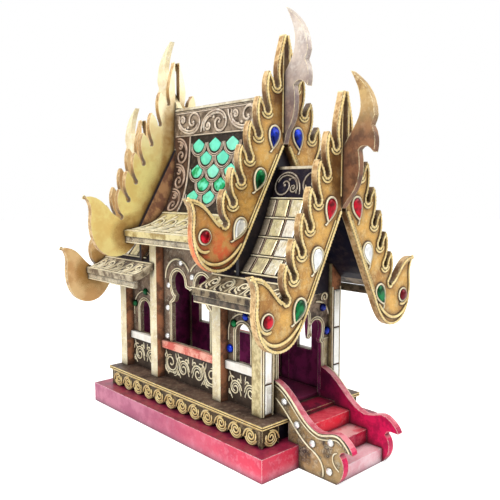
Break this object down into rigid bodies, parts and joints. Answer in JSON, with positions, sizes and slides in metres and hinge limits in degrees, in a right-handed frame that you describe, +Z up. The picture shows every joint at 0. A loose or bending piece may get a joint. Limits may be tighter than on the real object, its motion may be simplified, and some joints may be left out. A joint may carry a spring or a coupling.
{
  "type": "spirit house",
  "caption": "Tabletop spirit house in carved wood, with stairs, arched openings, tiered concave roofs, flame-edged gable boards and hooked finials.",
  "frame": {"origin": "centre of the base board on the ground", "axes": "+Z up, -Y out of the front over the stairs, +X to the right for someone who faces the stairs; the house is the same on both sides of the X = 0 plane"},
  "size_m": [0.228, 0.3804, 0.3998],
  "materials": {
    "red_lacquer": "worn red lacquer on wood",
    "old_gold": "rubbed antique gold paint on carved wood",
    "pale_gold": "pale gold paint over raised scrolls",
    "cream_paint": "cream paint with gold wear",
    "dark_lacquer": "near black lacquer",
    "bronze_paint": "dull bronze paint under the roof inlay"
  },
  "bodies": {
    "root": {"base_board": "red_lacquer", "plinth_core": "dark_lacquer", "plinth_top": "old_gold", "apron_sides": "pale_gold", "apron_ends": "pale_gold", "floor_board": "red_lacquer", "posts_left": "cream_paint", "posts_right": "cream_paint", "front_wall": "old_gold", "rear_wall": "old_gold", "left_front_wall": "old_gold", "left_middle_wall": "old_gold", "left_rear_wall": "old_gold", "right_front_wall": "old_gold", "right_middle_wall": "old_gold", "right_rear_wall": "old_gold", "sills": "cream_paint", "end_gables": "dark_lacquer", "upper_gables": "dark_lacquer", "front_roof_left": "bronze_paint", "front_roof_right": "bronze_paint", "rear_roof_left": "bronze_paint", "rear_roof_right": "bronze_paint", "main_roof_left": "bronze_paint", "main_roof_right": "bronze_paint", "ridge_caps": "cream_paint", "eave_fascias": "bronze_paint", "front_board_left": "old_gold", "front_board_right": "old_gold", "rear_board_left": "old_gold", "rear_board_right": "old_gold", "upper_front_board_left": "old_gold", "upper_front_board_right": "old_gold", "upper_rear_board_left": "old_gold", "upper_rear_board_right": "old_gold", "front_finial": "old_gold", "rear_finial": "old_gold", "upper_front_finial": "old_gold", "upper_rear_finial": "old_gold", "cheek_left": "old_gold", "cheek_right": "old_gold", "step_lower": "red_lacquer", "step_middle": "red_lacquer", "step_upper": "red_lacquer"}
  },
  "joints": []
}
